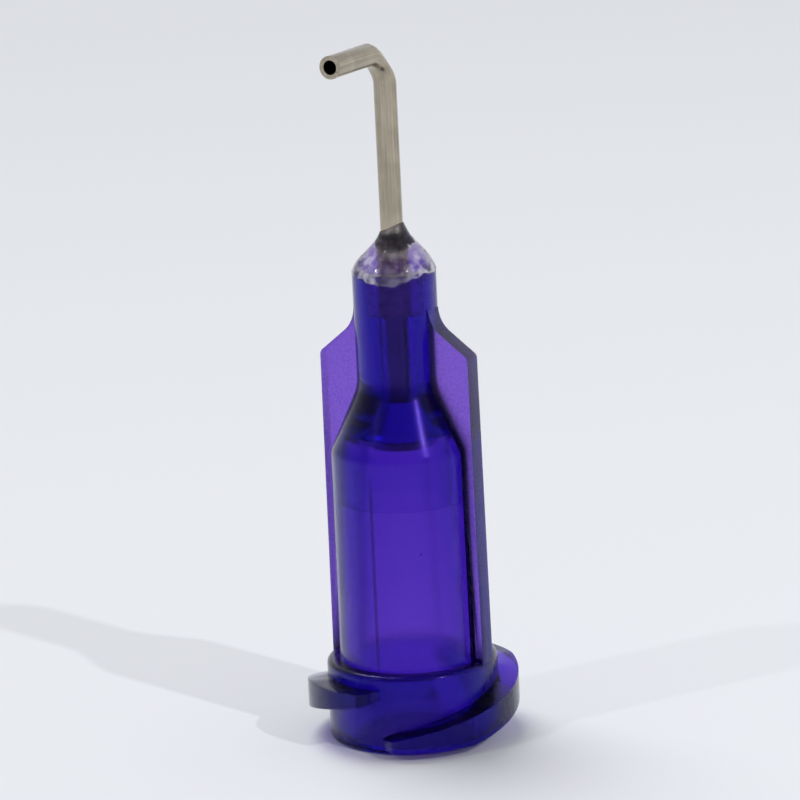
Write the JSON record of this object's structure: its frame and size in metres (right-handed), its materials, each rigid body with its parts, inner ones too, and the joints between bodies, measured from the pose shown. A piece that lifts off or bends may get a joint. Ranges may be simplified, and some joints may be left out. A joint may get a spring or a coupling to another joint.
{
  "type": "dispensing needle tip",
  "caption": "Bent-tip dispensing needle: a translucent winged hub with a luer-lock socket holds a thin steel tube that turns through about a right angle near its end.",
  "frame": {"origin": "centre of the luer socket's mouth, in the plane of the mouth rim that the hub stands on", "axes": "+Z along the socket axis, from the mouth towards the cannula; the first wing lies 28 degrees from +X towards -Y and the bent leg points towards -Y and a little towards -X"},
  "size_m": [0.0078, 0.0078, 0.0255],
  "materials": {
    "hub_plastic": "injection-moulded polypropylene, translucent violet, glossy on the turned surfaces and finely textured on the wings",
    "steel_tube": "drawn stainless tube, satin, with fine lengthwise draw lines",
    "cured_adhesive": "clear cured adhesive, glossy, faintly grey"
  },
  "bodies": {
    "root": {"hub": "hub_plastic", "cannula": "steel_tube", "adhesive": "cured_adhesive"}
  },
  "joints": []
}
